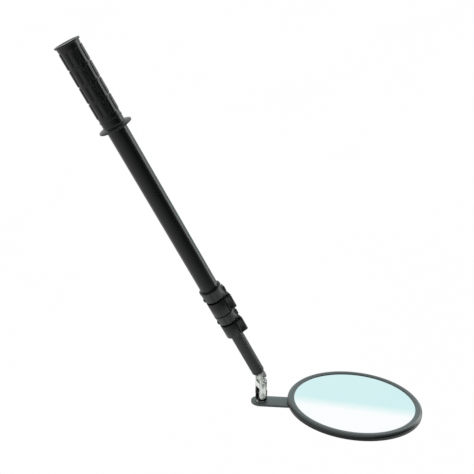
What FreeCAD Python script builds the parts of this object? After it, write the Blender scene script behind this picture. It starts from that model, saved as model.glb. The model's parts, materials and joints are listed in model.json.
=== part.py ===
import FreeCAD, Part
import os
import re
import Sketcher
from FreeCAD import Placement, Rotation, Vector

# Telescoping inspection mirror.
# Row frame: millimetres, +Z up along the pole, origin at the centre of the grip's butt face.
# The pole hangs down the -Z axis, and the mirror stands out towards +X.
# Heights along the pole are given as depths below the butt face.

DIMENSIONS = {
    # handle: grip and outer tube
    "tube_radius": 13.2,
    "tube_wall": 1.2,
    "grip_length": 113.5,
    "grip_end_wall": 4.2,
    "grip_butt_radius": 16.6,
    "grip_butt_thick": 2.2,
    "grip_floor_radius": 14.5,
    "grip_pad_radius": 15.45,
    "grip_rows_start": 8.4,
    "grip_row_pitch": 22.0,
    "grip_row_gap": 2.0,
    "grip_groove_width": 2.0,
    "grip_neck_flare": 0.5,
    "grip_ring_rise": 10.5,
    "grip_ring_width": 2.2,
    "grip_ring_proud": 0.6,
    "grip_guard_flare": 2.6,
    "grip_guard_radius": 22.0,
    "grip_guard_thick": 2.0,
    # middle and inner tubes
    "mid_radius": 11.3,
    "mid_wall": 1.1,
    "mid_top": 14.0,
    "inner_radius": 9.4,
    "inner_wall": 1.1,
    "inner_top": 82.0,
    "cap_end": 534.5,
    "bush_length": 12.0,
    "running_gap": 0.05,
    # flip locks, as depths below the butt face
    "upper_top": 371.5,
    "upper_slot": 389.5,
    "upper_bottom": 414.0,
    "upper_head_radius": 15.6,
    "upper_grip_radius": 15.0,
    "lower_top": 415.2,
    "lower_slot": 431.5,
    "lower_bottom": 455.0,
    "lower_head_radius": 14.6,
    "lower_grip_radius": 14.1,
    "lip_proud": 0.5,
    "lip_height": 2.0,
    "slot_height": 4.2,
    "slot_end": 7.0,
    "split_gap": 1.2,
    "split_start": 5.0,
    "seam_offset": 6.8,
    "seam_width": 0.8,
    "seam_depth": 0.7,
    "spine_half_width": 5.0,
    "spine_proud": 2.6,
    "spine_height": 7.5,
    "lug_half_depth": 6.6,
    "lug_proud": 3.0,
    "lug_top_gap": 0.6,
    "lug_low_gap": 0.8,
    "bolt_offset": 2.3,
    "bolt_radius": 2.0,
    "bolt_end": 3.4,
    "eye_radius": 3.2,
    "eye_height": 6.0,
    "eye_room": 6.6,
    "nut_room_radius": 4.5,
    "lock_pin_offset": 11.2,
    "lock_pin_radius": 1.5,
    "knuckle_radius": 3.5,
    "lever_inner_offset": 3.7,
    "lever_outer_offset": 5.5,
    "lever_web_front": 1.5,
    "lever_web_back": 2.6,
    "lever_gap": 4.8,
    "lever_clearance": 0.4,
    "lever_seat_edge": 1.6,
    "lever_tab_depth": 2.2,
    "lever_tab_reach": 6.5,
    "lever_panel_depth": 0.6,
    "lever_panel_edge": 2.2,
    "lever_panel_start": 4.6,
    "lever_panel_end": 3.6,
    "fixing_screw_radius": 1.5,
    "fixing_head_radius": 2.7,
    "fixing_head_height": 1.1,
    "fixing_screw_rise": 5.6,
    "fixing_hole_start": 5.0,
    "fixing_hole_depth": 9.0,
    # end cap, swivel and fork
    "cap_radius": 9.5,
    "cap_rim": 5.0,
    "cap_plug": 12.0,
    "swivel_screw_radius": 2.45,
    "swivel_screw_end": 4.6,
    "swivel_head_radius": 4.1,
    "swivel_head_height": 2.6,
    "swivel_head_drop": 3.05,
    "swivel_washer_radius": 6.2,
    "swivel_washer_thick": 0.9,
    "fork_gap": 1.0,
    "fork_base_thick": 2.0,
    "ear_inner": 4.4,
    "ear_thick": 2.0,
    "fork_half_width": 7.0,
    "fork_ear_length": 12.5,
    "fork_pivot_drop": 14.7,
    "fork_pivot_offset": 2.2,
    "fork_nose_radius": 5.2,
    # link
    "link_length": 24.0,
    "link_half_width": 5.4,
    "link_inner": 7.0,
    "link_thick": 2.0,
    "pivot_radius": 2.4,
    "pivot_washer_radius": 4.6,
    "pivot_washer_thick": 0.5,
    "pivot_head_radius": 3.7,
    "pivot_head_height": 1.9,
    "pivot_screw_end": 3.6,
    "washer_gap": 0.05,
    # bracket and arm
    "bracket_back": 5.4,
    "bracket_front": 8.0,
    "bracket_rise": 10.0,
    "bracket_drop": 10.0,
    "bracket_thick": 2.0,
    "rivet_radius": 2.0,
    "rivet_head_radius": 4.0,
    "rivet_head_height": 1.4,
    "arm_washer_radius": 6.5,
    "arm_washer_thick": 0.95,
    "arm_drop": 11.0,
    "arm_half_width": 14.0,
    "arm_thick": 3.0,
    "arm_reach": 141.0,
    "arm_tail": 24.0,
    "arm_screw_spread": 16.0,
    "arm_screw_radius": 2.0,
    "arm_screw_head_radius": 3.7,
    "arm_screw_head_height": 1.8,
    "foam_room_radius": 4.4,
    # mirror
    "bezel_radius": 100.0,
    "bezel_wall": 1.8,
    "bezel_window": 89.8,
    "back_thick": 1.5,
    "foam_thick": 1.9,
    "glass_thick": 3.0,
    "bezel_crown": 2.0,
    # rest pose
    "mirror_lean": 30.0,
    "arm_swivel": -27.0,
    # length of a cutting tool that passes right through any piece
    "through": 60.0,
}

# nuts, each a corner radius and a height
SMALL_NUT = (4.04, 3.0)
PIVOT_NUT = (4.62, 3.2)
SWIVEL_NUT = (4.62, 4.0)
THIN_NUT = (4.04, 1.8)

# rounded corners
LEVER_CORNER = 3.0
FORK_CORNER = 4.0
BRACKET_CORNER = 5.0

doc = FreeCAD.newDocument("inspection_mirror")
sheet = doc.addObject("Spreadsheet::Sheet", "dims")
for row, (alias, number) in enumerate(DIMENSIONS.items(), start=1):
    sheet.set(f"A{row}", alias)
    sheet.set(f"B{row}", str(number))
    sheet.setAlias(f"B{row}", alias)
doc.recompute()

SUBPARTS = []


# ---------------------------------------------------------------- helpers

def formula(text):
    """Turn 'tube_radius - tube_wall' into a formula on the sheet's cells."""
    return re.sub(r"[a-z][a-z_]*", lambda word: "dims." + word.group(0), str(text))


def value(text):
    return float(sheet.evalExpression(formula(text)))


def bind(item, prop, text):
    item.setExpression(prop, formula(text))


TURNS = {
    "+Z": Rotation(),
    "+Y": Rotation(Vector(1, 0, 0), -90),
    "-Y": Rotation(Vector(1, 0, 0), 90),
    "-X": Rotation(Vector(0, 1, 0), -90),
}


def seat(item, corner, axis="+Z"):
    """Bind a primitive's origin to three formulas and turn its own Z along axis."""
    item.Placement = Placement(Vector(*[value(text) for text in corner]), TURNS[axis])
    for prop, text in zip("xyz", corner):
        bind(item, "Placement.Base." + prop, text)


def box(low, high):
    item = doc.addObject("Part::Box", "block")
    for prop, start, end in zip(("Length", "Width", "Height"), low, high):
        bind(item, prop, f"({end}) - ({start})")
    seat(item, low)
    return item


def rod(radius, length, base, axis="+Z"):
    item = doc.addObject("Part::Cylinder", "rod")
    bind(item, "Radius", radius)
    bind(item, "Height", length)
    seat(item, base, axis)
    return item


def hexagon(nut, base, axis="+Z"):
    """A nut blank with two of its flats square to X."""
    item = doc.addObject("Part::Prism", "hexagon")
    item.Polygon = 6
    item.Circumradius, item.Height = nut
    seat(item, base, axis)
    item.Placement.Rotation = item.Placement.Rotation * Rotation(Vector(0, 0, 1), 30)
    return item


def fuse(*items):
    joined = doc.addObject("Part::MultiFuse", "joined")
    joined.Shapes = list(items)
    joined.Refine = True
    return joined


def cut(base, *tools):
    result = doc.addObject("Part::Cut", "trimmed")
    result.Base = base
    result.Tool = tools[0] if len(tools) == 1 else fuse(*tools)
    result.Refine = True
    return result


def rounded(base, radius, chosen):
    """Round the edges of base whose middle point is accepted by chosen."""
    doc.recompute()
    picked = []
    for number, edge in enumerate(base.Shape.Edges, start=1):
        middle = edge.valueAt((edge.FirstParameter + edge.LastParameter) / 2)
        if chosen(middle):
            picked.append((number, radius, radius))
    item = doc.addObject("Part::Fillet", "rounded")
    item.Base = base
    item.Edges = picked
    return item


def near(actual, text):
    return abs(actual - value(text)) < 0.01


def origin_feature(body, role):
    return [item for item in body.Origin.OriginFeatures if item.Role == role][0]


def outline(body, plane, corners):
    """A closed sketch through corners, each a pair of formulas measured from the body's origin."""
    sketch = body.newObject("Sketcher::SketchObject", body.Name + "_outline")
    sketch.AttachmentSupport = [(origin_feature(body, plane), "")]
    sketch.MapMode = "FlatFace"
    points = [Vector(value(across), value(up), 0) for across, up in corners]
    count = len(points)
    for index in range(count):
        sketch.addGeometry(Part.LineSegment(points[index], points[(index + 1) % count]))
    for index in range(count):
        sketch.addConstraint(Sketcher.Constraint("Coincident", index, 2, (index + 1) % count, 1))
    for index, corner in enumerate(corners):
        for kind, text, own, axis in zip(("DistanceX", "DistanceY"), corner,
                                         (points[index].x, points[index].y), (-2, -1)):
            if abs(own) < 1e-9:
                sketch.addConstraint(Sketcher.Constraint("PointOnObject", index, 1, axis))
            else:
                place = sketch.addConstraint(Sketcher.Constraint(kind, -1, 1, index, 1, own))
                sketch.setExpression(f"Constraints[{place}]", formula(text))
    return sketch


def turned(name, profile):
    """A piece turned about its own Z axis from (radius, height) pairs."""
    body = doc.addObject("PartDesign::Body", name + "_body")
    turn = body.newObject("PartDesign::Revolution", name + "_turn")
    turn.Profile = (outline(body, "XZ_Plane", profile), [""])
    turn.ReferenceAxis = (turn.Profile[0], ["V_Axis"])
    turn.Angle = 360
    body.Tip = turn
    return body


def ring(name, inner, outer, low, high):
    return turned(name, [(inner, low), (outer, low), (outer, high), (inner, high)])


def finish(item, label, place=None):
    """Name a finished sub-part and put it in its rest place."""
    item.Label = label
    if place:
        item.Placement = place
    SUBPARTS.append(item)
    return item


def group(*items):
    """Identical fasteners, kept as separate solids of one node."""
    compound = doc.addObject("Part::Compound", "set")
    compound.Links = list(items)
    return compound


# ---------------------------------------------------------------- handle

def grip_profile():
    profile = [("0", "0"),
               ("grip_butt_radius - 0.6", "0"),
               ("grip_butt_radius", "-0.6"),
               ("grip_butt_radius", "0.5 - grip_butt_thick"),
               ("grip_floor_radius + grip_neck_flare", "-grip_butt_thick"),
               ("grip_floor_radius", "-grip_butt_thick - 2 * grip_neck_flare"),
               ("grip_floor_radius", "-grip_rows_start")]
    for row in range(4):
        start = f"grip_rows_start + {row} * grip_row_pitch"
        end = f"{start} + grip_row_pitch - grip_row_gap"
        profile += [("grip_pad_radius", f"-({start}) - 0.4"),
                    ("grip_pad_radius", f"-({end}) + 0.4"),
                    ("grip_floor_radius", f"-({end})")]
        if row < 3:
            profile.append(("grip_floor_radius", f"-({end}) - grip_row_gap"))
    guard_top = "grip_length - grip_guard_thick"
    ring_low = f"grip_ring_rise - ({guard_top})"
    ring_top = f"{ring_low} + grip_ring_width"
    return profile + [("grip_floor_radius", f"{ring_top} + grip_ring_proud"),
                      ("grip_floor_radius + grip_ring_proud", ring_top),
                      ("grip_floor_radius + grip_ring_proud", ring_low),
                      ("grip_floor_radius + grip_ring_proud / 2", f"{ring_low} - grip_ring_proud"),
                      ("grip_floor_radius + grip_ring_proud / 2", f"grip_guard_flare - ({guard_top})"),
                      ("grip_pad_radius + grip_guard_flare / 2", f"grip_guard_flare / 5 - ({guard_top})"),
                      ("grip_guard_radius - 0.6", f"-({guard_top})"),
                      ("grip_guard_radius", f"-({guard_top}) - 0.5"),
                      ("grip_guard_radius", "-grip_length + 0.5"),
                      ("grip_guard_radius - 0.5", "-grip_length"),
                      ("tube_radius", "-grip_length"),
                      ("tube_radius", "-grip_end_wall"),
                      ("0", "-grip_end_wall")]


def make_grip():
    """Moulded grip: closed butt, four rows of ten pads, and a round hand guard."""
    body = turned("grip", grip_profile())
    last_row = "grip_rows_start + 4 * grip_row_pitch - grip_row_gap"
    slot = outline(body, "YZ_Plane", [("-grip_groove_width / 2", "-grip_rows_start"),
                                      ("grip_groove_width / 2", "-grip_rows_start"),
                                      ("grip_groove_width / 2", f"-({last_row})"),
                                      ("-grip_groove_width / 2", f"-({last_row})")])
    bind(slot, "AttachmentOffset.Base.z", "grip_floor_radius")
    groove = body.newObject("PartDesign::Pocket", "grip_groove")
    groove.Profile = (slot, [""])
    groove.Length = value("grip_butt_radius - grip_floor_radius")
    groove.Reversed = True
    around = body.newObject("PartDesign::PolarPattern", "grip_grooves")
    around.Originals = [groove]
    around.Axis = (origin_feature(body, "Z_Axis"), [""])
    around.Angle = 360
    around.Occurrences = 10
    body.Tip = around
    finish(body, "grip")


def screw_depth(lock):
    """How far down the pole a lock's fixing screw is."""
    return f"{lock}_slot - fixing_screw_rise"


def fixing_hole(lock):
    """The hole for a lock's fixing screw, on the -X side of a tube."""
    return rod("fixing_screw_radius", "fixing_hole_depth",
               (f"fixing_hole_start - {lock}_head_radius", "0", f"-({screw_depth(lock)})"), "-X")


def make_tubes():
    outer = ring("outer_tube", "tube_radius - tube_wall", "tube_radius",
                 "-upper_slot + slot_height / 2 + 0.5", "-grip_end_wall")
    finish(cut(outer, fixing_hole("upper")), "outer_tube")
    middle = ring("mid_tube", "mid_radius - mid_wall", "mid_radius",
                  "-lower_slot + slot_height / 2 + 0.5", "-mid_top")
    finish(cut(middle, fixing_hole("lower")), "mid_tube")
    finish(ring("inner_tube", "inner_radius - inner_wall", "inner_radius",
                "-cap_end + cap_rim", "-inner_top"), "inner_tube")
    finish(ring("mid_tube_bush", "mid_radius", "tube_radius - tube_wall - running_gap",
                "-mid_top - bush_length", "-mid_top"), "mid_tube_bush")
    finish(ring("inner_tube_bush", "inner_radius", "mid_radius - mid_wall - running_gap",
                "-inner_top - bush_length", "-inner_top"), "inner_tube_bush")


# ---------------------------------------------------------------- flip locks

def make_lock(lock, holder, holder_wall, slider):
    """A flip lock: its head is fixed to the bigger tube, its split lower ring grips the smaller one."""
    bolt_x = f"({slider} + bolt_offset)"
    pin_y = "lock_pin_offset"
    slot_top = f"slot_height / 2 - {lock}_slot"
    slot_low = f"-{lock}_slot - slot_height / 2"
    low_z = f"-{lock}_bottom"
    top_z = f"-{lock}_top"
    bolt_z = f"({slot_low} + {low_z}) / 2"
    lug_top = f"({slot_low} - lug_top_gap)"
    lug_low = f"({low_z} + lug_low_gap)"
    lug_height = f"{lug_top} - {lug_low}"

    # collar
    head = rod(f"{lock}_head_radius", f"{lock}_slot - {lock}_top", ("0", "0", f"-{lock}_slot"))
    lip = rod(f"{lock}_head_radius + lip_proud", "lip_height", ("0", "0", f"{top_z} - lip_height"))
    lower = rod(f"{lock}_grip_radius", f"{lock}_bottom - {lock}_slot", ("0", "0", low_z))
    lugs = box((slider, "-lug_half_depth", lug_low), (f"{bolt_x} + lug_proud", "lug_half_depth", lug_top))
    spine = box((slider, "-spine_half_width", slot_top),
                (f"{lock}_head_radius + spine_proud", "spine_half_width", f"{slot_top} + spine_height"))
    shell = fuse(head, lip, lower, lugs, spine)
    holder_bore = rod(holder, "through", ("0", "0", slot_top))
    slider_bore = rod(f"{slider} + running_gap", "2 * through", ("0", "0", f"{low_z} - through"))
    slot = box(("-through", "-through", slot_low), ("through", "slot_end", slot_top))
    split = box(("split_start", "-split_gap / 2", f"{low_z} - through"),
                ("through", "split_gap / 2", f"-{lock}_slot"))
    bolt_hole = rod("bolt_radius", "through", (bolt_x, "-through / 2", bolt_z), "+Y")
    nut_room = rod("nut_room_radius", "through", (bolt_x, "-lug_half_depth", bolt_z), "-Y")
    seam_floor = f"seam_depth - ({lock}_grip_radius ^ 2 - seam_offset ^ 2) ^ 0.5"
    seam = box(("-seam_offset - seam_width / 2", "-through", f"{low_z} - through"),
               ("seam_width / 2 - seam_offset", seam_floor, f"{top_z} + through"))
    tab_back = "(-lug_half_depth - lever_gap)"
    tab_seat = box((f"{bolt_x} - lever_tab_reach - lever_seat_edge", "-through", f"{low_z} - through"),
                   ("through", f"{tab_back} + lever_clearance", slot_low))
    knuckle_room = rod("knuckle_radius + lever_clearance", "through", (bolt_x, pin_y, f"{slot_low} - through"))
    finish(cut(shell, holder_bore, slider_bore, slot, split, bolt_hole, nut_room, fixing_hole(lock), seam,
               tab_seat, knuckle_room), f"{lock}_lock_collar")

    # fixing screw, from the -X side through the collar and the bigger tube's wall
    screw_z = f"-({screw_depth(lock)})"
    inner_wall = f"{holder_wall} - {holder}"
    shank = rod("fixing_screw_radius", f"{lock}_head_radius + {inner_wall}", (inner_wall, "0", screw_z), "-X")
    head = rod("fixing_head_radius", f"{lock}_head_radius + fixing_head_height", ("0", "0", screw_z), "-X")
    inside_head = rod(f"{lock}_head_radius", "through", ("0", "0", f"{screw_z} - through / 2"))
    finish(fuse(shank, cut(head, inside_head)), f"{lock}_lock_screw")

    # draw bolt with an eye, its nut and the lever's pin
    bolt_start = "-lug_half_depth - bolt_end"
    bolt = rod("bolt_radius", f"{pin_y} - ({bolt_start})", (bolt_x, bolt_start, bolt_z), "+Y")
    eye = rod("eye_radius", "eye_height", (bolt_x, pin_y, f"{bolt_z} - eye_height / 2"))
    pin_hole = rod("lock_pin_radius", "through", (bolt_x, pin_y, f"{bolt_z} - through / 2"))
    finish(cut(fuse(bolt, eye), pin_hole), f"{lock}_lock_bolt")
    nut = hexagon(SMALL_NUT, (bolt_x, "-lug_half_depth", bolt_z), "-Y")
    nut_bore = rod("bolt_radius", "through", (bolt_x, "-through / 2", bolt_z), "+Y")
    finish(cut(nut, nut_bore), f"{lock}_lock_nut")
    finish(rod("lock_pin_radius", lug_height, (bolt_x, pin_y, lug_low)), f"{lock}_lock_pin")

    # lever: knuckles on the pin, a side plate, and a finger tab with a recessed panel
    outer_x = f"({bolt_x} + lever_outer_offset)"
    inner_x = f"({bolt_x} + lever_inner_offset)"
    tab_front = f"({tab_back} - lever_tab_depth)"
    back_y = f"{pin_y} + lever_web_back"
    knuckle = rod("knuckle_radius", lug_height, (bolt_x, pin_y, lug_low))
    web = box((bolt_x, f"{pin_y} - lever_web_front", lug_low), (outer_x, back_y, lug_top))
    side = box((inner_x, tab_front, lug_low), (outer_x, back_y, lug_top))
    tab = box((f"{bolt_x} - lever_tab_reach", tab_front, lug_low), (outer_x, tab_back, lug_top))
    eye_room = box((f"{bolt_x} - 2 * knuckle_radius", f"{pin_y} - 2 * knuckle_radius",
                    f"{bolt_z} - eye_room / 2"),
                   (inner_x, f"{pin_y} + 2 * knuckle_radius", f"{bolt_z} + eye_room / 2"))
    pin_bore = rod("lock_pin_radius + running_gap", "through", (bolt_x, pin_y, f"{bolt_z} - through / 2"))
    panel = box((f"{bolt_x} - lever_panel_start", f"{tab_front} - through", f"{lug_low} + lever_panel_edge"),
                (f"{outer_x} - lever_panel_end", f"{tab_front} + lever_panel_depth",
                 f"{lug_top} - lever_panel_edge"))
    lever = cut(fuse(knuckle, web, side, tab), eye_room, pin_bore, panel)
    finish(rounded(lever, LEVER_CORNER, lambda point: near(point.x, outer_x) and near(point.y, tab_front)),
           f"{lock}_lock_lever")


# ---------------------------------------------------------------- end cap and swivel fork

def make_end_cap():
    plug_top = "-cap_end + cap_rim + cap_plug"
    finish(turned("end_cap", [("swivel_screw_radius", "-cap_end"),
                              ("cap_radius - 1.4", "-cap_end"),
                              ("cap_radius - 0.4", "-cap_end + 0.4"),
                              ("cap_radius", "-cap_end + 1.4"),
                              ("cap_radius", "-cap_end + cap_rim"),
                              ("inner_radius - inner_wall", "-cap_end + cap_rim"),
                              ("inner_radius - inner_wall", plug_top),
                              ("swivel_screw_radius", plug_top)]), "end_cap")
    head_top = "-cap_end - swivel_head_drop"
    finish(turned("swivel_screw", [("0", f"{head_top} - swivel_head_height"),
                                   ("swivel_head_radius - 1.3", f"{head_top} - swivel_head_height"),
                                   ("swivel_head_radius", f"{head_top} - swivel_head_height + 1.2"),
                                   ("swivel_head_radius", head_top),
                                   ("swivel_screw_radius", head_top),
                                   ("swivel_screw_radius", f"{plug_top} + swivel_screw_end"),
                                   ("0", f"{plug_top} + swivel_screw_end")]), "swivel_screw")
    finish(ring("swivel_washer", "swivel_screw_radius", "swivel_washer_radius",
                "-cap_end - swivel_washer_thick", "-cap_end"), "swivel_washer")
    nut = hexagon(SWIVEL_NUT, ("0", "0", plug_top))
    bore = rod("swivel_screw_radius", "through", ("0", "0", f"{plug_top} - through / 2"))
    finish(cut(nut, bore), "swivel_nut")


def make_fork():
    """Bent steel fork: a base under the end cap and two ears that carry the upper pivot."""
    ear_outer = "(ear_inner + ear_thick)"
    base_top = "-cap_end - fork_gap"
    base_low = f"{base_top} - fork_base_thick"
    ear_low = "-cap_end - fork_ear_length"
    pivot_z = "-cap_end - fork_pivot_drop"
    base = box(("-fork_half_width", f"-{ear_outer}", base_low), ("fork_half_width", ear_outer, base_top))
    ears = box(("-fork_half_width", f"-{ear_outer}", ear_low), ("fork_half_width", ear_outer, base_top))
    nose = rod("fork_nose_radius", f"2 * {ear_outer}", ("-fork_pivot_offset", f"-{ear_outer}", pivot_z), "+Y")
    room = box(("-through", "-ear_inner", f"{base_low} - through"), ("through", "ear_inner", base_low))
    solid = rounded(fuse(base, ears), FORK_CORNER,
                    lambda point: near(point.x, "fork_half_width") and near(point.z, ear_low))
    pivot_hole = rod("pivot_radius + running_gap", "through",
                     ("-fork_pivot_offset", "-through / 2", pivot_z), "+Y")
    screw_hole = rod("swivel_screw_radius + running_gap", "through", ("0", "0", "-cap_end - through / 2"))
    finish(cut(fuse(solid, nose), room, pivot_hole, screw_hole), "fork")


# ---------------------------------------------------------------- link, bracket and arm

def leaning(x, y, z):
    """Places in the frame of the linkage, turned about Y by the mirror's lean."""
    turn = Rotation(Vector(0, 1, 0), value("mirror_lean"))
    pivot = Vector(value("-fork_pivot_offset"), 0, value("-cap_end - fork_pivot_drop"))
    return Placement(pivot + turn.multVec(Vector(x, y, z)), turn)


def pivot_screw(name):
    """Screw across the linkage along Y, its domed head on the -Y side."""
    end = "2 * (link_inner + link_thick) + pivot_screw_end"
    return turned(name + "_screw", [("0", "-pivot_head_height"),
                                    ("pivot_head_radius - 1.5", "0.25 - pivot_head_height"),
                                    ("pivot_head_radius - 0.4", "0.9 - pivot_head_height"),
                                    ("pivot_head_radius", "0"),
                                    ("pivot_radius", "0"),
                                    ("pivot_radius", end),
                                    ("0", end)])


def make_link():
    upper = leaning(0, 0, 0)
    lower = leaning(0, 0, -value("link_length"))
    outer_face = "(link_inner + link_thick)"
    for name, side in (("front_link_plate", f"-{outer_face}"), ("rear_link_plate", "link_inner")):
        strip = box(("-link_half_width", side, "-link_length"),
                    ("link_half_width", f"{side} + link_thick", "0"))
        ends = [rod("link_half_width", "link_thick", ("0", side, height), "+Y")
                for height in ("0", "-link_length")]
        holes = [rod("pivot_radius", "through", ("0", "-through / 2", height), "+Y")
                 for height in ("0", "-link_length")]
        finish(cut(fuse(strip, *ends), *holes), name, upper)
    along_y = Placement(Vector(0, -value(outer_face), 0), TURNS["+Y"])
    for name, place in (("upper_pivot", upper), ("lower_pivot", lower)):
        finish(pivot_screw(name), name + "_screw", place.multiply(along_y))
        nut = hexagon(PIVOT_NUT, ("0", outer_face, "0"), "+Y")
        bore = rod("pivot_radius", "through", ("0", "-through / 2", "0"), "+Y")
        finish(cut(nut, bore), name + "_nut", place)
    washers = []
    for height in ("0", "-link_length"):
        for low in ("ear_inner + ear_thick + washer_gap", "washer_gap - link_inner"):
            disc = rod("pivot_washer_radius", "pivot_washer_thick", ("0", low, height), "+Y")
            bore = rod("pivot_radius", "through", ("0", "-through / 2", height), "+Y")
            washers.append(cut(disc, bore))
    finish(group(*washers), "pivot_washers", upper)


def make_bracket():
    """Black bracket: two cheeks on the lower pivot and a foot riveted to the arm."""
    place = leaning(0, 0, -value("link_length"))
    outer = "(ear_inner + ear_thick)"
    foot_top = "bracket_thick - bracket_drop"
    block = box(("-bracket_back", f"-{outer}", "-bracket_drop"), ("bracket_front", outer, "bracket_rise"))
    shoulders = rounded(block, BRACKET_CORNER, lambda point: near(point.z, "bracket_rise")
                        and (near(point.x, "bracket_front") or near(point.x, "-bracket_back")))
    room = box(("-through", "-ear_inner", foot_top), ("through", "ear_inner", "through"))
    pivot_hole = rod("pivot_radius + running_gap", "through", ("0", "-through / 2", "0"), "+Y")
    rivet_hole = rod("rivet_radius", "through", ("0", "0", "-through"))
    finish(cut(shoulders, room, pivot_hole, rivet_hole), "mirror_bracket", place)
    arm_low = "-arm_drop - arm_thick - running_gap"
    finish(turned("arm_rivet", [("0", f"{arm_low} - rivet_head_height"),
                                ("rivet_head_radius - 1.2", f"{arm_low} - rivet_head_height"),
                                ("rivet_head_radius", f"{arm_low} - 0.5"),
                                ("rivet_head_radius", arm_low),
                                ("rivet_radius", arm_low),
                                ("rivet_radius", foot_top),
                                ("rivet_head_radius", foot_top),
                                ("rivet_head_radius", f"{foot_top} + 0.5"),
                                ("rivet_head_radius - 1.2", f"{foot_top} + rivet_head_height"),
                                ("0", f"{foot_top} + rivet_head_height")]), "arm_rivet", place)
    finish(ring("arm_washer", "rivet_radius", "arm_washer_radius",
                "-bracket_drop - arm_washer_thick", "-bracket_drop"), "arm_washer", place)


# ---------------------------------------------------------------- mirror head

def head_place():
    """Rest place of the mirror head: its own origin is on the rivet, in the arm's top face."""
    swivel = Placement(Vector(0, 0, 0), Rotation(Vector(0, 0, 1), value("arm_swivel")))
    return leaning(0, 0, value("-link_length - arm_drop")).multiply(swivel)


def screw_stations():
    return [f"arm_reach + {sign} * arm_screw_spread" for sign in (-1, 1)]


def make_arm():
    strip = box(("0", "-arm_half_width", "-arm_thick"), ("arm_reach + arm_tail", "arm_half_width", "0"))
    end = rod("arm_half_width", "arm_thick", ("0", "0", "-arm_thick"))
    tail = rod("arm_half_width", "arm_thick", ("arm_reach + arm_tail", "0", "-arm_thick"))
    rivet_hole = rod("rivet_radius + running_gap", "through", ("0", "0", "-through / 2"))
    holes = [rod("arm_screw_radius", "through", (place, "0", "-through / 2")) for place in screw_stations()]
    finish(cut(fuse(strip, end, tail), rivet_hole, *holes), "mirror_arm", head_place())


def make_arm_fasteners():
    screw_length = f"arm_thick + back_thick + {THIN_NUT[1]}"
    screws = []
    nuts = []
    for station in screw_stations():
        shank = rod("arm_screw_radius", screw_length, (station, "0", "-arm_thick"))
        head = rod("arm_screw_head_radius", "arm_screw_head_height",
                   (station, "0", "-arm_thick - arm_screw_head_height"))
        screws.append(fuse(shank, head))
        nut = hexagon(THIN_NUT, (station, "0", "back_thick"))
        nuts.append(cut(nut, rod("arm_screw_radius", "through", (station, "0", "-through / 2"))))
    finish(group(*screws), "arm_screws", head_place())
    finish(group(*nuts), "arm_nuts", head_place())


def make_mirror():
    glass_low = "back_thick + foam_thick"
    glass_top = "back_thick + foam_thick + glass_thick"
    centre = head_place().multiply(Placement(Vector(value("arm_reach"), 0, 0), Rotation()))
    inside = "bezel_radius - bezel_wall"
    back = turned("mirror_back", [("0", "0"), (inside, "0"), (inside, "back_thick"), ("0", "back_thick")])
    spread = [f"{sign} * arm_screw_spread" for sign in (-1, 1)]
    holes = [rod("arm_screw_radius", "through", (place, "0", "-through / 2")) for place in spread]
    finish(cut(back, *holes), "mirror_back", centre)
    foam = turned("foam_pad", [("0", "back_thick"), (f"{inside} - 2", "back_thick"),
                               (f"{inside} - 2", glass_low), ("0", glass_low)])
    rooms = [rod("foam_room_radius", "through", (place, "0", "0")) for place in spread]
    finish(cut(foam, *rooms), "foam_pad", centre)
    finish(turned("mirror_glass", [("0", glass_low), (f"{inside} - 1", glass_low),
                                   (f"{inside} - 1", glass_top), ("0", glass_top)]),
           "mirror_glass", centre)
    crown = f"{glass_top} + bezel_crown"
    finish(turned("bezel", [("bezel_window", glass_top),
                            ("bezel_window + 0.4", f"{glass_top} + 0.8"),
                            ("bezel_window + 2.2", f"{crown} - 0.3"),
                            ("bezel_window + 4.5", crown),
                            ("bezel_radius - 3.6", f"{crown} - 0.1"),
                            ("bezel_radius - 1.2", f"{crown} - 0.9"),
                            ("bezel_radius", f"{glass_top} - 0.6"),
                            ("bezel_radius", "0.6"),
                            ("bezel_radius - 0.6", "0"),
                            (inside, "0"),
                            (inside, glass_top)]), "bezel", centre)


# ---------------------------------------------------------------- build, check and write

make_grip()
make_tubes()
make_lock("upper", "tube_radius", "tube_wall", "mid_radius")
make_lock("lower", "mid_radius", "mid_wall", "inner_radius")
make_end_cap()
make_fork()
make_link()
make_bracket()
make_arm()
make_arm_fasteners()
make_mirror()
doc.recompute()

for item in doc.Objects:
    if "Invalid" in item.State or "Error" in item.State:
        raise RuntimeError(f"{item.Label} did not rebuild: {item.State}")
for item in SUBPARTS:
    if item.Shape.isNull() or not item.Shape.isValid():
        raise RuntimeError(f"{item.Label} has no valid shape")

os.makedirs("parts", exist_ok=True)
for item in SUBPARTS:
    item.Shape.exportStep(f"parts/{item.Label}.step")
    print(item.Label, len(item.Shape.Solids), "solid(s)", round(item.Shape.Volume, 1), "mm3")
print(len(SUBPARTS), "sub-parts written")
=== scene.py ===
"""Telescoping inspection mirror: the looks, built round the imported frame. Everything is in metres."""
import json
from math import atan2, cos, pi, radians, sin, tan

import bmesh
import bpy
from mathutils import Euler, Matrix, Vector


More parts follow.
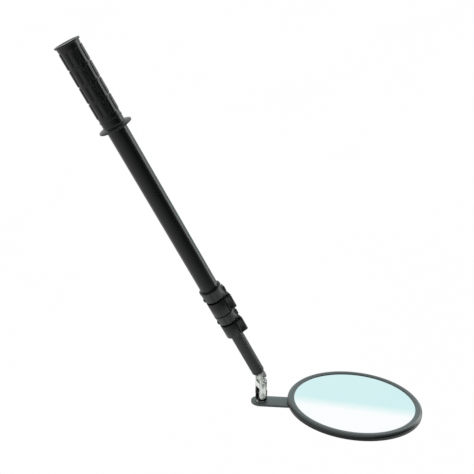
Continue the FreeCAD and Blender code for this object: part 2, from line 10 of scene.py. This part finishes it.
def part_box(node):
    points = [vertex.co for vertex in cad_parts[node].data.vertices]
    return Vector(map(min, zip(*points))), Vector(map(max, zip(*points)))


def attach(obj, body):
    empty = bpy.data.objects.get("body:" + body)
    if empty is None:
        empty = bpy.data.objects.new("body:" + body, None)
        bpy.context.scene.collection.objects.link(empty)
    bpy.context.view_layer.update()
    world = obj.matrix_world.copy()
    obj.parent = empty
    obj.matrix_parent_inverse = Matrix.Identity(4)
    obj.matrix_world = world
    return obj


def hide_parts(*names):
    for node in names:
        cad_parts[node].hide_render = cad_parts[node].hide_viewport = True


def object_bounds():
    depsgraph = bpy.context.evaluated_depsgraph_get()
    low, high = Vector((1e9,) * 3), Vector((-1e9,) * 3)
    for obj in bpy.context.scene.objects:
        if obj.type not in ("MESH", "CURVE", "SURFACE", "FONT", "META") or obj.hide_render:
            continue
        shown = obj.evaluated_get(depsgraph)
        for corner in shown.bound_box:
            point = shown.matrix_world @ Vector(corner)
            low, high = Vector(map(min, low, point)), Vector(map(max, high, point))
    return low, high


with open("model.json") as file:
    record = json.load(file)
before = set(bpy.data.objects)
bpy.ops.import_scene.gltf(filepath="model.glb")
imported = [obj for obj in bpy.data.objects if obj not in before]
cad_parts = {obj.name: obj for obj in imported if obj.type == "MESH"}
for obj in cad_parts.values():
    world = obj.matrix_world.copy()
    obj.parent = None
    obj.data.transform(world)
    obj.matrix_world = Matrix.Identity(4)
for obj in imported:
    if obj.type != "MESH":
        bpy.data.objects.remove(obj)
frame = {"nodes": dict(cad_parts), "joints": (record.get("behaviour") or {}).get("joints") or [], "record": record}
cad_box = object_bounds()

NODES = frame["nodes"]
JOINTS = {joint["name"]: joint for joint in frame["joints"]}
MM = 0.001
ROUND_STEPS = 96
RIM_STEPS = 192
EYE = Vector((-0.1340, -0.8163, 0.0592))
# The camera's direction round the pole, and the first column of grip pads in degrees from it.
CAMERA_SIDE = atan2(EYE.y, EYE.x)
PAD_TURN = 31


# ---------------------------------------------------------------- places taken from the frame

def low(node):
    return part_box(node)[0]


def high(node):
    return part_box(node)[1]


def joint_place(name):
    return Vector(JOINTS[name]["pos_m"])


LEAN = Vector(JOINTS["arm_swivel"]["axis"])
RIVET = joint_place("arm_swivel")
MIRROR_MIDDLE = (low("mirror_glass") + high("mirror_glass")) / 2
GLASS_DEPTH = (MIRROR_MIDDLE - RIVET).dot(LEAN)
ARM_WAY = (MIRROR_MIDDLE - RIVET - LEAN * GLASS_DEPTH).normalized()


def frame_at(origin, up, along):
    """A matrix that takes a piece's own Z to up and its own X to along."""
    side = up.cross(along).normalized()
    turn = Matrix((along.normalized(), side, up.normalized())).transposed()
    return Matrix.Translation(origin) @ turn.to_4x4()


HEAD = frame_at(MIRROR_MIDDLE - LEAN * GLASS_DEPTH, LEAN, ARM_WAY)
BODY_OF = {node: body for body, nodes in frame["record"]["behaviour"]["bodies"].items()
           for node in nodes}
SLOT_OF = {item["node"]: item["material_slot"] for item in frame["record"]["subparts"]}


# ---------------------------------------------------------------- mesh helpers

def new_piece(name, shape, node, finish, smooth_angle=35):
    """Turn a bmesh into a finished piece that stands for a CAD node and rides on its body."""
    mesh = bpy.data.meshes.new(name)
    shape.to_mesh(mesh)
    shape.free()
    piece = bpy.data.objects.new(name, mesh)
    bpy.context.scene.collection.objects.link(piece)
    mesh.materials.append(finish)
    mesh.shade_smooth()
    mesh.set_sharp_from_angle(angle=radians(smooth_angle))
    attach(piece, BODY_OF[node])
    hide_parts(node)


def filleted(corners, steps=6):
    """An outline of (across, up) points from (across, up, radius) corners, each radius an arc."""
    points = []
    for index, (across, up, radius) in enumerate(corners):
        here = Vector((across, up))
        if not radius:
            points.append(here)
            continue
        before = (Vector(corners[index - 1][:2]) - here).normalized()
        after = (Vector(corners[(index + 1) % len(corners)][:2]) - here).normalized()
        half = before.angle(after) / 2
        middle = here + (before + after).normalized() * (radius / sin(half))
        start = here + before * (radius / tan(half)) - middle
        sweep = start.angle_signed(here + after * (radius / tan(half)) - middle)
        for step in range(steps + 1):
            turn = Matrix.Rotation(-sweep * step / steps, 2)
            points.append(middle + turn @ start)
    return points


def lathe(corners, steps=ROUND_STEPS, arc_steps=6):
    """A closed outline in millimetres, turned about Z. Points on the axis are merged."""
    shape = bmesh.new()
    points = filleted(corners, arc_steps)
    verts = [shape.verts.new((point.x * MM, 0, point.y * MM)) for point in points]
    edges = [shape.edges.new((verts[index - 1], verts[index])) for index in range(len(verts))]
    on_axis = [edge for edge in edges if all(abs(vert.co.x) < 1e-9 for vert in edge.verts)]
    bmesh.ops.delete(shape, geom=on_axis, context="EDGES_FACES")
    bmesh.ops.spin(shape, geom=shape.verts[:] + shape.edges[:], cent=(0, 0, 0), axis=(0, 0, 1),
                   angle=2 * pi, steps=steps, use_merge=True)
    bmesh.ops.remove_doubles(shape, verts=shape.verts[:], dist=1e-6)
    bmesh.ops.recalc_face_normals(shape, faces=shape.faces[:])
    return shape


def join(shape, other):
    """Add another bmesh to shape."""
    mesh = bpy.data.meshes.new("part")
    other.to_mesh(mesh)
    other.free()
    shape.from_mesh(mesh)
    bpy.data.meshes.remove(mesh)
    return shape


def round_edges(shape, edges, radius, segments, clamp=False):
    bmesh.ops.bevel(shape, geom=edges, offset=radius, offset_type="OFFSET", affect="EDGES",
                    segments=segments, profile=0.5, material=-1, clamp_overlap=clamp)


def softened(node, width):
    """A copy of a CAD node's mesh with its sharp edges rounded, width in millimetres."""
    weld = 2e-6
    flat = radians(1.5)
    sharp = radians(28)
    shape = bmesh.new()
    shape.from_mesh(NODES[node].data)
    bmesh.ops.remove_doubles(shape, verts=shape.verts[:], dist=weld)
    bmesh.ops.dissolve_limit(shape, angle_limit=flat, verts=shape.verts[:], edges=shape.edges[:])
    edges = [edge for edge in shape.edges
             if len(edge.link_faces) == 2 and edge.calc_face_angle(0) > sharp]
    round_edges(shape, edges, width * MM, 2, True)
    return shape


# ---------------------------------------------------------------- shader helpers

class Socket:
    """A shader value that can be used in sums."""

    def __init__(self, tree, link):
        self.tree = tree
        self.link = link

    def sum(self, operation, other, flipped=False):
        """A Math node on this value and another, which may be a plain number."""
        node = self.tree.nodes.new("ShaderNodeMath")
        node.operation = operation
        pair = (other, self) if flipped else (self, other)
        for entry, item in zip(node.inputs, pair):
            feed(self.tree, entry, item)
        return Socket(self.tree, node.outputs[0])

    def __add__(self, other):
        return self.sum("ADD", other)

    def __radd__(self, other):
        return self.sum("ADD", other)

    def __sub__(self, other):
        return self.sum("SUBTRACT", other)

    def __rsub__(self, other):
        return self.sum("SUBTRACT", other, True)

    def __mul__(self, other):
        return self.sum("MULTIPLY", other)

    def __rmul__(self, other):
        return self.sum("MULTIPLY", other)

    def __truediv__(self, other):
        return self.sum("DIVIDE", other)

    def __rtruediv__(self, other):
        return self.sum("DIVIDE", other, True)


def feed(tree, entry, item):
    """Link a Socket to a node's input, or set the input to a plain value."""
    if isinstance(item, Socket):
        tree.links.new(item.link, entry)
    else:
        entry.default_value = item


class Finish:
    """A procedural material with one Principled surface."""

    def __init__(self, name, **values):
        self.material = bpy.data.materials.new(name)
        self.material.use_nodes = True
        self.tree = self.material.node_tree
        self.surface = self.tree.nodes["Principled BSDF"]
        self.surface_values(**values)

    def surface_values(self, **values):
        """Set the surface's inputs, such as coat_weight=0.5, by plain values or Sockets."""
        for key, item in values.items():
            entry = self.surface.inputs[NAMES.get(key, key.replace("_", " ").title())]
            feed(self.tree, entry, (*item, 1) if isinstance(item, tuple) else item)

    def node(self, kind, settings=None, values=None, output=0):
        """Any other node: settings are its properties, values its inputs, output its result."""
        node = self.tree.nodes.new("ShaderNode" + kind)
        for key, item in (settings or {}).items():
            if key == "stops":
                for stop, (place, colour) in zip(stops_of(node, len(item)), item):
                    stop.position = place
                    stop.color = (*colour, 1) if isinstance(colour, tuple) else (colour,) * 3 + (1,)
            else:
                setattr(node, key, item)
        for key, item in (values or {}).items():
            feed(self.tree, node.inputs[key], item)
        return Socket(self.tree, node.outputs[output])

    def spot(self):
        """Object coordinates, in metres."""
        return self.node("TexCoord", output="Object")

    def place(self, scale, turn):
        """Object coordinates, scaled and turned."""
        return self.node("Mapping", None, {"Vector": self.spot(), "Scale": scale, "Rotation": turn})

    def dot(self, first, second):
        return self.node("VectorMath", {"operation": "DOT_PRODUCT"}, {0: first, 1: second}, "Value")

    def noise(self, scale, detail=3, stretch=(1, 1, 1), turn=(0, 0, 0), rough=0.5):
        return self.node("TexNoise", None, {"Vector": self.place(stretch, turn), "Scale": scale,
                                            "Detail": detail, "Roughness": rough})

    def ramp(self, factor, *stops):
        return self.node("ValToRGB", {"stops": stops}, {"Fac": factor})

    def blend(self, factor, first, second):
        """A colour between two others. Inputs 6 and 7 and output 2 are a Mix node's colours."""
        first, second = [item if isinstance(item, Socket) else (*item, 1) for item in (first, second)]
        return self.node("Mix", {"data_type": "RGBA"}, {0: factor, 6: first, 7: second}, 2)

    def worn_edges(self, radius, amount):
        """0 on flat ground, up to amount on corners sharper than radius, broken up by a noise."""
        gain = 6
        rounded = self.node("Bevel", {"samples": 4}, {"Radius": radius})
        flat = self.node("NewGeometry", output="Normal")
        turn = 1 - self.dot(rounded, flat)
        rubbed = self.ramp(turn * gain * self.noise(260, 4), (0.12, 0.0), (0.6, 1.0))
        return rubbed * amount

    def bump(self, height, distance, strength):
        return self.node("Bump", None, {"Height": height, "Distance": distance, "Strength": strength})


# Inputs of the surface whose names aren't their keys in title case.
NAMES = {"specular_ior_level": "Specular IOR Level"}


def stops_of(node, count):
    """The colour stops of a ramp node, made up to count."""
    stops = node.color_ramp.elements
    while len(stops) < count:
        stops.new(1.0)
    return stops


# ---------------------------------------------------------------- finishes

def grip_rubber():
    """Glossy black moulded rubber with a fine skin and slightly uneven colour."""
    made = Finish("grip_rubber", specular_ior_level=0.5)
    skin = made.noise(900, 2)
    patches = made.noise(38, 3)
    made.surface_values(
        base_color=made.blend(patches, (0.0022, 0.0030, 0.0027), (0.0050, 0.0062, 0.0056)),
        roughness=0.20 + patches * 0.12 + skin * 0.05,
        normal=made.bump(skin, 0.00003, 0.15))
    return made.material


def coated_tube(name, dark, light, gloss, scuff):
    """Black coated tube: orange peel, long fine rubbing marks and slightly uneven gloss."""
    made = Finish(name)
    peel = made.noise(520, 2)
    cloud = made.noise(24, 3, (1, 1, 0.35))
    marks = made.noise(300, 4, (1, 1, 0.03))
    scratch = made.ramp(marks, (0.60, 0.0), (0.72, 1.0))
    colour = made.blend(cloud, dark, light)
    made.surface_values(
        base_color=made.blend(scratch * scuff, colour, (0.07, 0.08, 0.075)),
        roughness=gloss + cloud * 0.12 + scratch * 0.08,
        normal=made.bump(peel * 0.8 + scratch * 0.25, 0.00003, 0.12))
    return made.material


def moulded_nylon(name, dark, light, gloss):
    """Satin black moulding with a fine spark-eroded grain and corners rubbed grey by handling."""
    made = Finish(name)
    grain = made.noise(1500, 3, rough=0.65)
    cloud = made.noise(60, 3)
    worn = made.worn_edges(0.0008, 0.5)
    made.surface_values(
        base_color=made.blend(worn, made.blend(cloud, dark, light), (0.06, 0.07, 0.066)),
        roughness=gloss + cloud * 0.12 + grain * 0.10,
        normal=made.bump(grain, 0.00003, 0.2))
    return made.material


def bright_steel():
    """Bright plated strip with a fine brushed grain, faint smears and dulled edges."""
    made = Finish("bright_steel", metallic=1.0)
    lines = made.noise(700, 3, (1, 1, 0.06), (0, radians(-30), 0))
    smears = made.noise(90, 3)
    worn = made.worn_edges(0.0006, 0.3)
    plate = made.blend(smears, (0.90, 0.94, 0.88), (0.97, 0.99, 0.95))
    made.surface_values(
        base_color=made.blend(worn, plate, (0.70, 0.71, 0.68)),
        roughness=0.30 + lines * 0.06 + smears * 0.08,
        normal=made.bump(lines, 0.00002, 0.1))
    return made.material


def zinc_steel():
    """Zinc plated screws, nuts and pins, a little cloudy, brighter on rubbed edges."""
    made = Finish("zinc_steel", metallic=1.0)
    cloud = made.noise(260, 4)
    worn = made.worn_edges(0.0004, 0.5)
    plate = made.blend(cloud, (0.62, 0.64, 0.63), (0.80, 0.82, 0.80))
    made.surface_values(
        base_color=made.blend(worn, plate, (0.88, 0.89, 0.88)),
        roughness=0.24 + cloud * 0.16,
        normal=made.bump(cloud, 0.00003, 0.3))
    return made.material


def black_oxide():
    """Blackened screws, the heads brightened on their edges."""
    made = Finish("black_oxide", metallic=0.6)
    cloud = made.noise(300, 4)
    worn = made.worn_edges(0.0004, 0.7)
    made.surface_values(
        base_color=made.blend(
            worn,
            made.blend(cloud, (0.012, 0.012, 0.013), (0.035, 0.035, 0.036)),
            (0.22, 0.22, 0.22)),
        roughness=0.34 + cloud * 0.18,
        normal=made.bump(cloud, 0.00004, 0.4))
    return made.material


def arm_coat(name, dark, light, gloss):
    """Thick black coat on flat strip, with orange peel and corners rubbed through to grey. The arm's copy is given
    lighter teal-grey colours, a painted reflection of the pale surroundings.
    """
    made = Finish(name, specular_ior_level=0.7)
    peel = made.noise(330, 2)
    cloud = made.noise(45, 4)
    worn = made.worn_edges(0.0007, 0.6)
    made.surface_values(
        base_color=made.blend(worn, made.blend(cloud, dark, light), (0.12, 0.13, 0.125)),
        roughness=gloss + cloud * 0.14,
        normal=made.bump(peel, 0.0001, 0.3))
    return made.material


def rim_rubber():
    """Satin black rim, its crown painted a lighter teal grey: a painted reflection of the pale surroundings on the
    upward-facing crown.
    """
    made = Finish("rim_rubber", specular_ior_level=0.5)
    painted_sheen_start = 5.0 * MM
    painted_sheen_depth = 3.0 * MM
    height = made.dot(made.spot(), LEAN)
    base = (MIRROR_MIDDLE - LEAN * GLASS_DEPTH).dot(LEAN)
    # Painted reflection: this mask rises with height along the mirror's axis and turns the crown's base colour
    # from the black wall colour to a lighter teal grey.
    crown = made.ramp((height - (base + painted_sheen_start)) / painted_sheen_depth, (0.25, 0.0), (0.95, 1.0))
    skin = made.noise(800, 3)
    cloud = made.noise(26, 3)
    made.surface_values(
        base_color=made.blend(
            crown,
            made.blend(cloud, (0.004, 0.0055, 0.0052), (0.008, 0.0105, 0.010)),
            made.blend(cloud, (0.060, 0.078, 0.077), (0.090, 0.112, 0.111))),
        roughness=0.24 + cloud * 0.08 + skin * 0.04,
        normal=made.bump(skin, 0.00003, 0.2))
    return made.material


def silvered_glass():
    """Flat mirror with a faint cool tint and a trace of haze."""
    made = Finish("silvered_glass", metallic=1.0)
    haze = made.noise(22, 4)
    made.surface_values(
        base_color=made.blend(haze, (0.95, 0.978, 0.98), (0.97, 0.99, 0.99)),
        roughness=0.012 + haze * 0.02)
    return made.material


def plain_nylon():
    """Natural nylon washers and bushes, slightly waxy."""
    made = Finish("natural_nylon", subsurface_weight=0.1)
    cloud = made.noise(200, 3)
    made.surface_values(
        base_color=made.blend(cloud, (0.66, 0.66, 0.61), (0.78, 0.78, 0.73)),
        roughness=0.42 + cloud * 0.15,
        normal=made.bump(cloud, 0.00005, 0.3))
    return made.material


def closed_foam():
    """Black closed-cell foam tape."""
    made = Finish("closed_foam")
    cells = made.noise(700, 4)
    made.surface_values(
        base_color=made.blend(cells, (0.05, 0.05, 0.05), (0.12, 0.12, 0.12)),
        roughness=0.85 + cells * 0.1,
        normal=made.bump(cells, 0.0003, 0.7))
    return made.material


FINISHES = {
    "grip_rubber": grip_rubber(),
    "tube_black": coated_tube("tube_black", dark=(0.0022, 0.0032, 0.0028),
                              light=(0.0045, 0.0060, 0.0054), gloss=0.22, scuff=0.10),
    "inner_tube_black": coated_tube("inner_tube_black", dark=(0.0130, 0.0170, 0.0155),
                                    light=(0.021, 0.026, 0.024), gloss=0.42, scuff=0.20),
    "bush_nylon": plain_nylon(),
    "lock_plastic": moulded_nylon("lock_plastic", dark=(0.0022, 0.0034, 0.0029),
                                  light=(0.0050, 0.0066, 0.0060), gloss=0.27),
    "cap_plastic": moulded_nylon("cap_plastic", dark=(0.0060, 0.0072, 0.0068),
                                 light=(0.012, 0.0135, 0.013), gloss=0.36),
    "black_screw": black_oxide(),
    "steel_hardware": zinc_steel(),
    "bright_steel": bright_steel(),
    "bracket_black": arm_coat("bracket_coat", dark=(0.0045, 0.0060, 0.0055),
                              light=(0.0095, 0.0115, 0.0110), gloss=0.26),
    # Painted reflection: the arm's base colours are a lighter teal grey than the bracket's same black coat,
    # standing in for the pale surroundings seen in its upward face.
    "arm_black": arm_coat("arm_coat", dark=(0.050, 0.066, 0.064), light=(0.075, 0.094, 0.091),
                          gloss=0.28),
    "shell_plastic": moulded_nylon("shell_plastic", dark=(0.010, 0.012, 0.012),
                                   light=(0.018, 0.020, 0.020), gloss=0.42),
    "foam": closed_foam(),
    "mirror": silvered_glass(),
    "bezel_rubber": rim_rubber(),
}

for subpart in frame["record"]["subparts"]:
    for holder in NODES[subpart["node"]].material_slots:
        holder.material = FINISHES[subpart["material_slot"]]


# ---------------------------------------------------------------- grip

def grip_pad(width, height, thick):
    """One raised pad, flat, standing out along +Y, its corners and front edges rounded. It is cut
    across, so that it can be bent."""
    corner = 3.3 * MM
    front_edge = 0.6 * MM
    cuts = (-0.36, -0.24, -0.12, 0.0, 0.12, 0.24, 0.36)
    pad = bmesh.new()
    bmesh.ops.create_cube(pad, size=1)
    bmesh.ops.scale(pad, vec=(width, thick, height), verts=pad.verts[:])
    through = [edge for edge in pad.edges
               if abs(edge.verts[0].co.y - edge.verts[1].co.y) > thick / 2]
    round_edges(pad, through, corner, 6)
    front = [edge for edge in pad.edges
             if all(vert.co.y > thick * 0.49 for vert in edge.verts)]
    round_edges(pad, front, front_edge, 3)
    for share in cuts:
        bmesh.ops.bisect_plane(pad, geom=pad.verts[:] + pad.edges[:] + pad.faces[:],
                               plane_co=(share * width, 0, 0), plane_no=(1, 0, 0))
    bmesh.ops.translate(pad, vec=(0, -thick / 2, 0), verts=pad.verts[:])
    return pad


def wrap(shape, radius, turn, height, crown):
    """Bend a flat shape round the pole: X becomes the way round and Y the distance out. Crown
    drops its two sides, so that it stands out like a pillow."""
    for vert in shape.verts:
        bend = -vert.co.x / radius
        angle = turn + bend
        out = radius * (1 - crown * (1 - cos(bend))) + vert.co.y
        vert.co = Vector((cos(angle) * out, sin(angle) * out, vert.co.z + height))
    return shape


def make_grip():
    """The moulded sleeve: dished butt, waisted neck, pads, a ring ridge and a flared guard."""
    length = -low("grip").z / MM
    guard = high("grip").x / MM
    bore = high("outer_tube").x / MM + 0.1
    end_wall = -high("outer_tube").z / MM
    butt = 16.6
    floor = 14.5
    floor_start = 7.4
    lip = 2.2
    dish = 0.8
    ridge = length - 12.5
    ridge_rise = 0.6
    ridge_top = 0.9
    ridge_foot = 1.1
    neck = length - 4.6
    guard_thick = 2
    corners = [
        (0, -dish, 0), (12.8, -dish, 1.2), (13.9, 0, 0.5), (butt, 0, 0.6), (butt, -lip, 0.8),
        (floor + 0.5, -lip - 0.3, 0.4), (floor, -floor_start, 0.6), (floor, ridge_foot - ridge, 0.4),
        (floor + ridge_rise, ridge_top - ridge, 0.4), (floor + ridge_rise, -ridge_top - ridge, 0.4),
        (floor, -ridge_foot - ridge, 0.4), (floor, -neck, 1.2), (guard, guard_thick - length, 0.9),
        (guard, -length, 0.8), (bore, -length, 0), (bore, -end_wall, 0), (0, -end_wall, 0)]
    shape = lathe(corners)
    rows = 4
    columns = 10
    start = 8.4
    pitch = 22.0
    gap = 2.0
    outer = 15.45
    thick = 1.5
    crown = 1.0
    width = 2 * pi * outer / columns - gap
    for row in range(rows):
        for column in range(columns):
            pad = grip_pad(width * MM, (pitch - gap) * MM, thick * MM)
            middle = -(start + row * pitch + (pitch - gap) / 2) * MM
            turn = CAMERA_SIDE + radians(PAD_TURN) + 2 * pi * column / columns
            join(shape, wrap(pad, outer * MM, turn, middle, crown))
    new_piece("grip_moulding", shape, "grip", FINISHES["grip_rubber"])


# ---------------------------------------------------------------- mirror head and end cap

def make_bezel():
    """The mirror's rim: a crowned band that laps over the glass, with a wall round its edge."""
    radius = 100.0
    window = 89.8
    glass = 6.4
    crown = 2.0
    wall = 1.8
    corners = [(window, glass, 0), (window + 0.2, glass + 0.9, 0.4), (window + 3.2, glass + crown, 2.4),
               (radius - 3.4, glass + crown, 2.8), (radius, glass - 1.2, 2.2), (radius, 0.0, 0.9),
               (radius - wall, 0.0, 0), (radius - wall, glass, 0)]
    shape = lathe(corners, RIM_STEPS)
    bmesh.ops.transform(shape, matrix=HEAD, verts=shape.verts[:])
    new_piece("bezel_rim", shape, "bezel", FINISHES["bezel_rubber"])


def make_cap():
    """The end cap: a flange below the inner tube and a plug inside it, bored for the swivel screw."""
    bottom = low("end_cap").z / MM
    radius = high("end_cap").x / MM
    bore = 2.5
    plug = 7.7
    flange = bottom + 5.0
    top = bottom + 17.0
    corners = [(bore, bottom, 0), (radius, bottom, 1.9), (radius, flange, 0.3), (plug, flange, 0),
               (plug, top, 0.6), (bore, top, 0)]
    shape = lathe(corners, 72)
    new_piece("end_cap_moulding", shape, "end_cap", FINISHES["cap_plastic"])


# ---------------------------------------------------------------- pieces softened from the frame

# The rounding of each CAD node's edges, in millimetres.
SOFTENED = {
    "upper_lock_collar": 0.22, "lower_lock_collar": 0.22,
    "upper_lock_lever": 0.35, "lower_lock_lever": 0.35,
    "upper_lock_nut": 0.3, "lower_lock_nut": 0.3,
    "upper_lock_bolt": 0.3, "lower_lock_bolt": 0.3,
    "fork": 0.35, "front_link_plate": 0.35, "rear_link_plate": 0.35,
    "upper_pivot_nut": 0.35, "lower_pivot_nut": 0.35,
    "mirror_bracket": 0.4, "arm_rivet": 0.3, "mirror_arm": 0.5, "mirror_back": 0.4, "arm_nuts": 0.3,
}


def link_flange():
    """The front link plate's folded flange. It closes the link's left side above the bracket's swing."""
    upper = joint_place("link_tilt")
    lower = joint_place("bracket_tilt")
    way = (upper - lower).normalized()
    start = 11.9
    end = 19.6
    thick = 1.0
    overlap = 0.4
    edge = 0.3
    aside = 5.4
    middle = lower + way * ((start + end) / 2 * MM)
    middle.y = 0
    gap = low("rear_link_plate").y - high("front_link_plate").y
    flange = bmesh.new()
    bmesh.ops.create_cube(flange, size=1)
    bmesh.ops.scale(flange, vec=(thick * MM, gap + overlap * MM, (end - start) * MM),
                    verts=flange.verts[:])
    round_edges(flange, flange.edges[:], edge * MM, 2)
    bmesh.ops.translate(flange, vec=(-aside * MM, 0, 0), verts=flange.verts[:])
    place = frame_at(middle, way, Vector((0, 1, 0)).cross(way))
    bmesh.ops.transform(flange, matrix=place, verts=flange.verts[:])
    return flange


def soften_pieces():
    """Every piece in SOFTENED, the front link plate with its flange."""
    for node, width in SOFTENED.items():
        shape = softened(node, width)
        if node == "front_link_plate":
            join(shape, link_flange())
        new_piece(node + "_finished", shape, node, FINISHES[SLOT_OF[node]], 30)


# ---------------------------------------------------------------- screws with driven heads

def star_screw(head, shank, head_height, length):
    """A domed screw along +Z, its head below zero height, with a six-lobed recess."""
    lobes = 6
    swell = 0.13
    star = head * 0.42
    deep = head_height * 0.55
    top = -head_height
    corners = [(0, top + deep, 0), (star, top + deep, 0.1), (star, top, 0.12), (head * 0.62, top, 1.0),
               (head, -head_height * 0.45, head_height * 0.4), (head, 0, 0.2), (shank, 0, 0),
               (shank, length - 0.5, 0), (shank - 0.4, length, 0), (0, length, 0)]
    shape = lathe(corners, 48, 4)
    for vert in shape.verts:
        across = vert.co.xy.length / MM
        if 0.1 < across < star * 1.15 and vert.co.z < (top + deep + 0.05) * MM:
            lobe = 1 + swell * cos(lobes * vert.co.xy.angle_signed(Vector((1, 0))))
            vert.co.xy *= lobe
    return shape


def make_pivot_screws():
    """The two screws across the link, their domed heads on -Y."""
    for node, joint in (("upper_pivot_screw", "link_tilt"), ("lower_pivot_screw", "bracket_tilt")):
        plate = low("front_link_plate").y
        head_height = (plate - low(node).y) / MM
        head = (high(node).x - low(node).x) / 2 / MM
        shank = 2.4
        shape = star_screw(head, shank, head_height, (high(node).y - plate) / MM)
        centre = joint_place(joint)
        start = Vector((centre.x, plate, centre.z))
        way = frame_at(start, Vector((0, 1, 0)), LEAN)
        bmesh.ops.transform(shape, matrix=way, verts=shape.verts[:])
        new_piece(node + "_finished", shape, node, FINISHES["steel_hardware"])


def make_lock_screws():
    """The small screws that fix each collar to its tube, heads on -X."""
    for node in ("upper_lock_screw", "lower_lock_screw"):
        lowest = low(node)
        highest = high(node)
        head = (highest.z - lowest.z) / 2 / MM
        shank = head * 0.55
        head_height = 1.4
        shape = star_screw(head, shank, head_height, (highest.x - lowest.x) / MM - head_height)
        start = Vector((lowest.x + head_height * MM, 0, (lowest.z + highest.z) / 2))
        way = frame_at(start, Vector((1, 0, 0)), Vector((0, 0, 1)))
        bmesh.ops.transform(shape, matrix=way, verts=shape.verts[:])
        new_piece(node + "_finished", shape, node, FINISHES["black_screw"])


make_pivot_screws()
make_lock_screws()
make_grip()
make_bezel()
make_cap()
soften_pieces()


# ---------------------------------------------------------------- floor, light and camera

def glow(name, strength):
    """The floor's or a card's material: black, with only its own light."""
    return Finish(name, base_color=(0, 0, 0), roughness=1.0, specular_ior_level=0.0,
                  emission_strength=strength)


def stage_piece(name, shape, made, seen, reflected):
    """A floor or card, seen by the camera or only in reflections and as light."""
    mesh = bpy.data.meshes.new(name)
    shape.to_mesh(mesh)
    shape.free()
    piece = bpy.data.objects.new(name, mesh)
    bpy.context.scene.collection.objects.link(piece)
    mesh.materials.append(made.material)
    mesh.shade_smooth()
    piece.visible_camera = seen
    piece.visible_glossy = reflected
    piece.visible_diffuse = reflected
    piece.visible_shadow = False


def make_floor():
    """White floor, coved up into a white wall all round, below the pole at its full length."""
    travel = sum(JOINTS[name]["range_m"][1] for name in ("middle_slide", "inner_slide"))
    gap = 0.35
    reach = 9000
    cove = 2500
    level = (cad_box[0].z - travel - gap) / MM
    shape = bmesh.new()
    points = filleted([(0, level, 0), (reach, level, cove), (reach, level + reach, 0)], 12)
    verts = [shape.verts.new((point.x * MM, 0, point.y * MM)) for point in points]
    for first, second in zip(verts, verts[1:]):
        shape.edges.new((first, second))
    bmesh.ops.spin(shape, geom=shape.verts[:] + shape.edges[:], cent=(0, 0, 0), axis=(0, 0, 1),
                   angle=2 * pi, steps=64, use_merge=True)
    bmesh.ops.remove_doubles(shape, verts=shape.verts[:], dist=1e-5)
    made = glow("floor_paper", 1.0)
    tone = made.noise(0.6, 1)
    made.surface_values(emission_color=made.blend(tone, (1, 1, 1), (0.99, 0.99, 0.99)))
    stage_piece("floor", shape, made, True, False)


def card(radius, start, end, bottom, top, steps=24):
    """An upright card bent round the pole, from start to end degrees to the right of the camera."""
    shape = bmesh.new()
    first = CAMERA_SIDE + radians(start)
    foot = [shape.verts.new((cos(first) * radius, sin(first) * radius, height))
            for height in (bottom, top)]
    shape.edges.new(foot)
    bmesh.ops.spin(shape, geom=shape.verts[:] + shape.edges[:], cent=(0, 0, 0), axis=(0, 0, 1),
                   angle=radians(end - start), steps=steps)
    return shape


# Brightness of the surroundings by degrees to the right of the camera.
RING_TONES = ((-180, 0.85), (-140, 0.80), (-60, 0.66), (-20, 0.34), (8, 0.18), (30, 0.04), (80, 0.03),
              (112, 0.45), (140, 0.90), (180, 0.85))


def make_ring():
    """Grey surroundings, darkest to the right of the camera, that the black surfaces reflect."""
    made = glow("studio_ring", 1.0)
    turned = made.node("Mapping", None, {"Vector": made.spot(), "Rotation": (0, 0, -CAMERA_SIDE)})
    way = made.node("TexGradient", {"gradient_type": "RADIAL"}, {"Vector": turned}, "Fac")
    stops = [(0.5 + angle / 360, tone) for angle, tone in RING_TONES]
    made.surface_values(emission_color=made.ramp(way, *stops))
    shape = card(radius=1.3, start=-180, end=180, bottom=-1.19, top=0.35, steps=72)
    stage_piece("studio_ring", shape, made, False, True)


def make_strip():
    """A tall narrow lamp on the right, which draws the bright line down the pole."""
    made = glow("strip_lamp", 3.4)
    made.surface_values(emission_color=made.blend(made.noise(0.5, 1), (1, 1, 1), (0.97, 1, 0.99)))
    shape = card(radius=1.0, start=87, end=107, bottom=-1.3, top=0.2)
    stage_piece("strip_lamp", shape, made, False, True)


def make_sky_card():
    """The card behind that the glass reflects: pale blue-green below a sloping line, white above."""
    made = glow("sky_card", 1.0)
    slope = Vector((0.307, -0.355, 1.0))
    drop = 0.4545
    softness = 0.015
    height = made.dot(made.spot(), slope)
    shade = made.ramp(height + drop + 0.5, (0.5 - softness, 0.0), (0.5 + softness, 1.0))
    cloud = made.noise(5, 2)
    pale = made.blend(cloud, (0.64, 0.87, 0.87), (0.72, 0.91, 0.93))
    made.surface_values(emission_color=made.blend(shade, pale, (1.0, 1.0, 1.0)))
    shape = card(radius=1.15, start=112, end=178, bottom=-0.85, top=0.1)
    stage_piece("sky_card", shape, made, False, True)


def make_world():
    """Even white light from all round."""
    world = bpy.data.worlds.new("studio")
    world.use_nodes = True
    background = world.node_tree.nodes["Background"]
    background.inputs["Color"].default_value = (0.97, 1, 0.99, 1)
    background.inputs["Strength"].default_value = 0.92
    bpy.context.scene.world = world


def make_camera():
    """The camera at EYE, rolled so that the pole leans across the view."""
    lens = bpy.data.cameras.new("camera")
    lens.sensor_width = 36
    lens.lens = 50.6
    holder = bpy.data.objects.new("camera", lens)
    holder.location = EYE
    holder.rotation_euler = Euler((radians(62.241), radians(25.490), radians(-26.748)))
    bpy.context.scene.collection.objects.link(holder)
    bpy.context.scene.camera = holder


make_floor()
make_ring()
make_strip()
make_sky_card()
make_world()
make_camera()
bpy.context.scene.view_settings.view_transform = "Standard"
